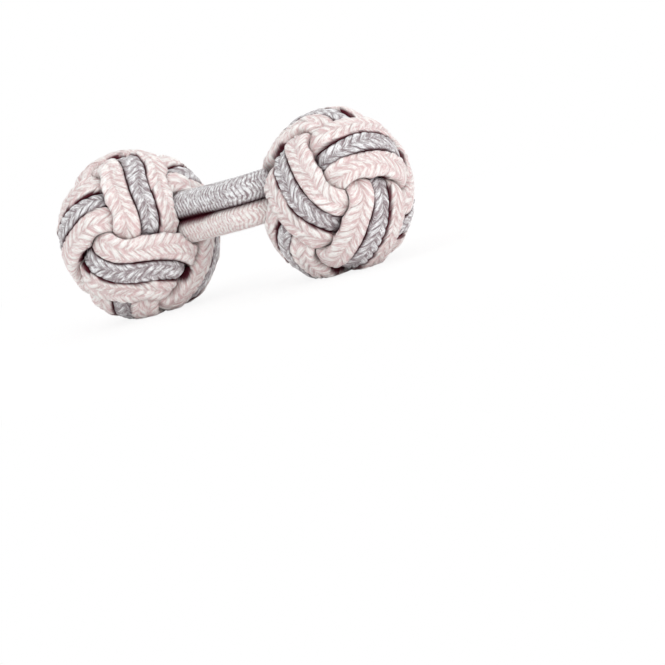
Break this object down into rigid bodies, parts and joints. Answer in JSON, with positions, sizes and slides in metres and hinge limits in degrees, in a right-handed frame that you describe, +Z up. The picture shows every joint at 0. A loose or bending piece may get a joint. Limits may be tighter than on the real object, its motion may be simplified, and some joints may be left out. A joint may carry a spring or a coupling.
{
  "type": "cufflink",
  "caption": "Silk-knot cufflink: a ball tied from braided cord at each end of a short elastic link, to close a double shirt cuff.",
  "frame": {"origin": "on the floor, midway between the two knots", "axes": "+X level from the left knot to the right knot, +Z up, with both knots lying on the floor"},
  "size_m": [0.0279, 0.0127, 0.0123],
  "materials": {
    "white_braid": "lustrous braided rayon, off-white",
    "silver_braid": "lustrous braided rayon, silver grey",
    "wadding": "matt packed thread",
    "rubber_core": "matt latex"
  },
  "bodies": {
    "left_knot": {"left_knot_white_strand_a": "white_braid", "left_knot_silver_strand": "silver_braid", "left_knot_white_strand_b": "white_braid", "left_knot_core": "wadding"},
    "link_elastics": {"silver_link_elastic": "rubber_core", "white_link_elastic": "rubber_core"},
    "link_sleeves": {"silver_link_sleeve": "silver_braid", "white_link_sleeve": "white_braid"},
    "right_knot": {"right_knot_white_strand_a": "white_braid", "right_knot_silver_strand": "silver_braid", "right_knot_white_strand_b": "white_braid", "right_knot_core": "wadding"}
  },
  "joints": [
    {"name": "left_swing", "type": "hinge", "parent": "left_knot", "child": "link_elastics", "pos_m": [-0.00165, -0.00207, 0.0066], "axis": [0, 0, 1], "range_deg": [-45, 45], "deforming": ["silver_link_elastic", "white_link_elastic"]},
    {"name": "link_stretch", "type": "slide", "parent": "link_elastics", "child": "link_sleeves", "axis": [0.9523, -0.301, 0.0497], "range_m": [0, 0.0015], "stiffness_N_per_m": 300, "deforming": ["silver_link_sleeve", "white_link_sleeve"]},
    {"name": "right_swing", "type": "hinge", "parent": "link_sleeves", "child": "right_knot", "pos_m": [0.00216, -0.00328, 0.0068], "axis": [0, 0, 1], "range_deg": [-96, 4]}
  ]
}
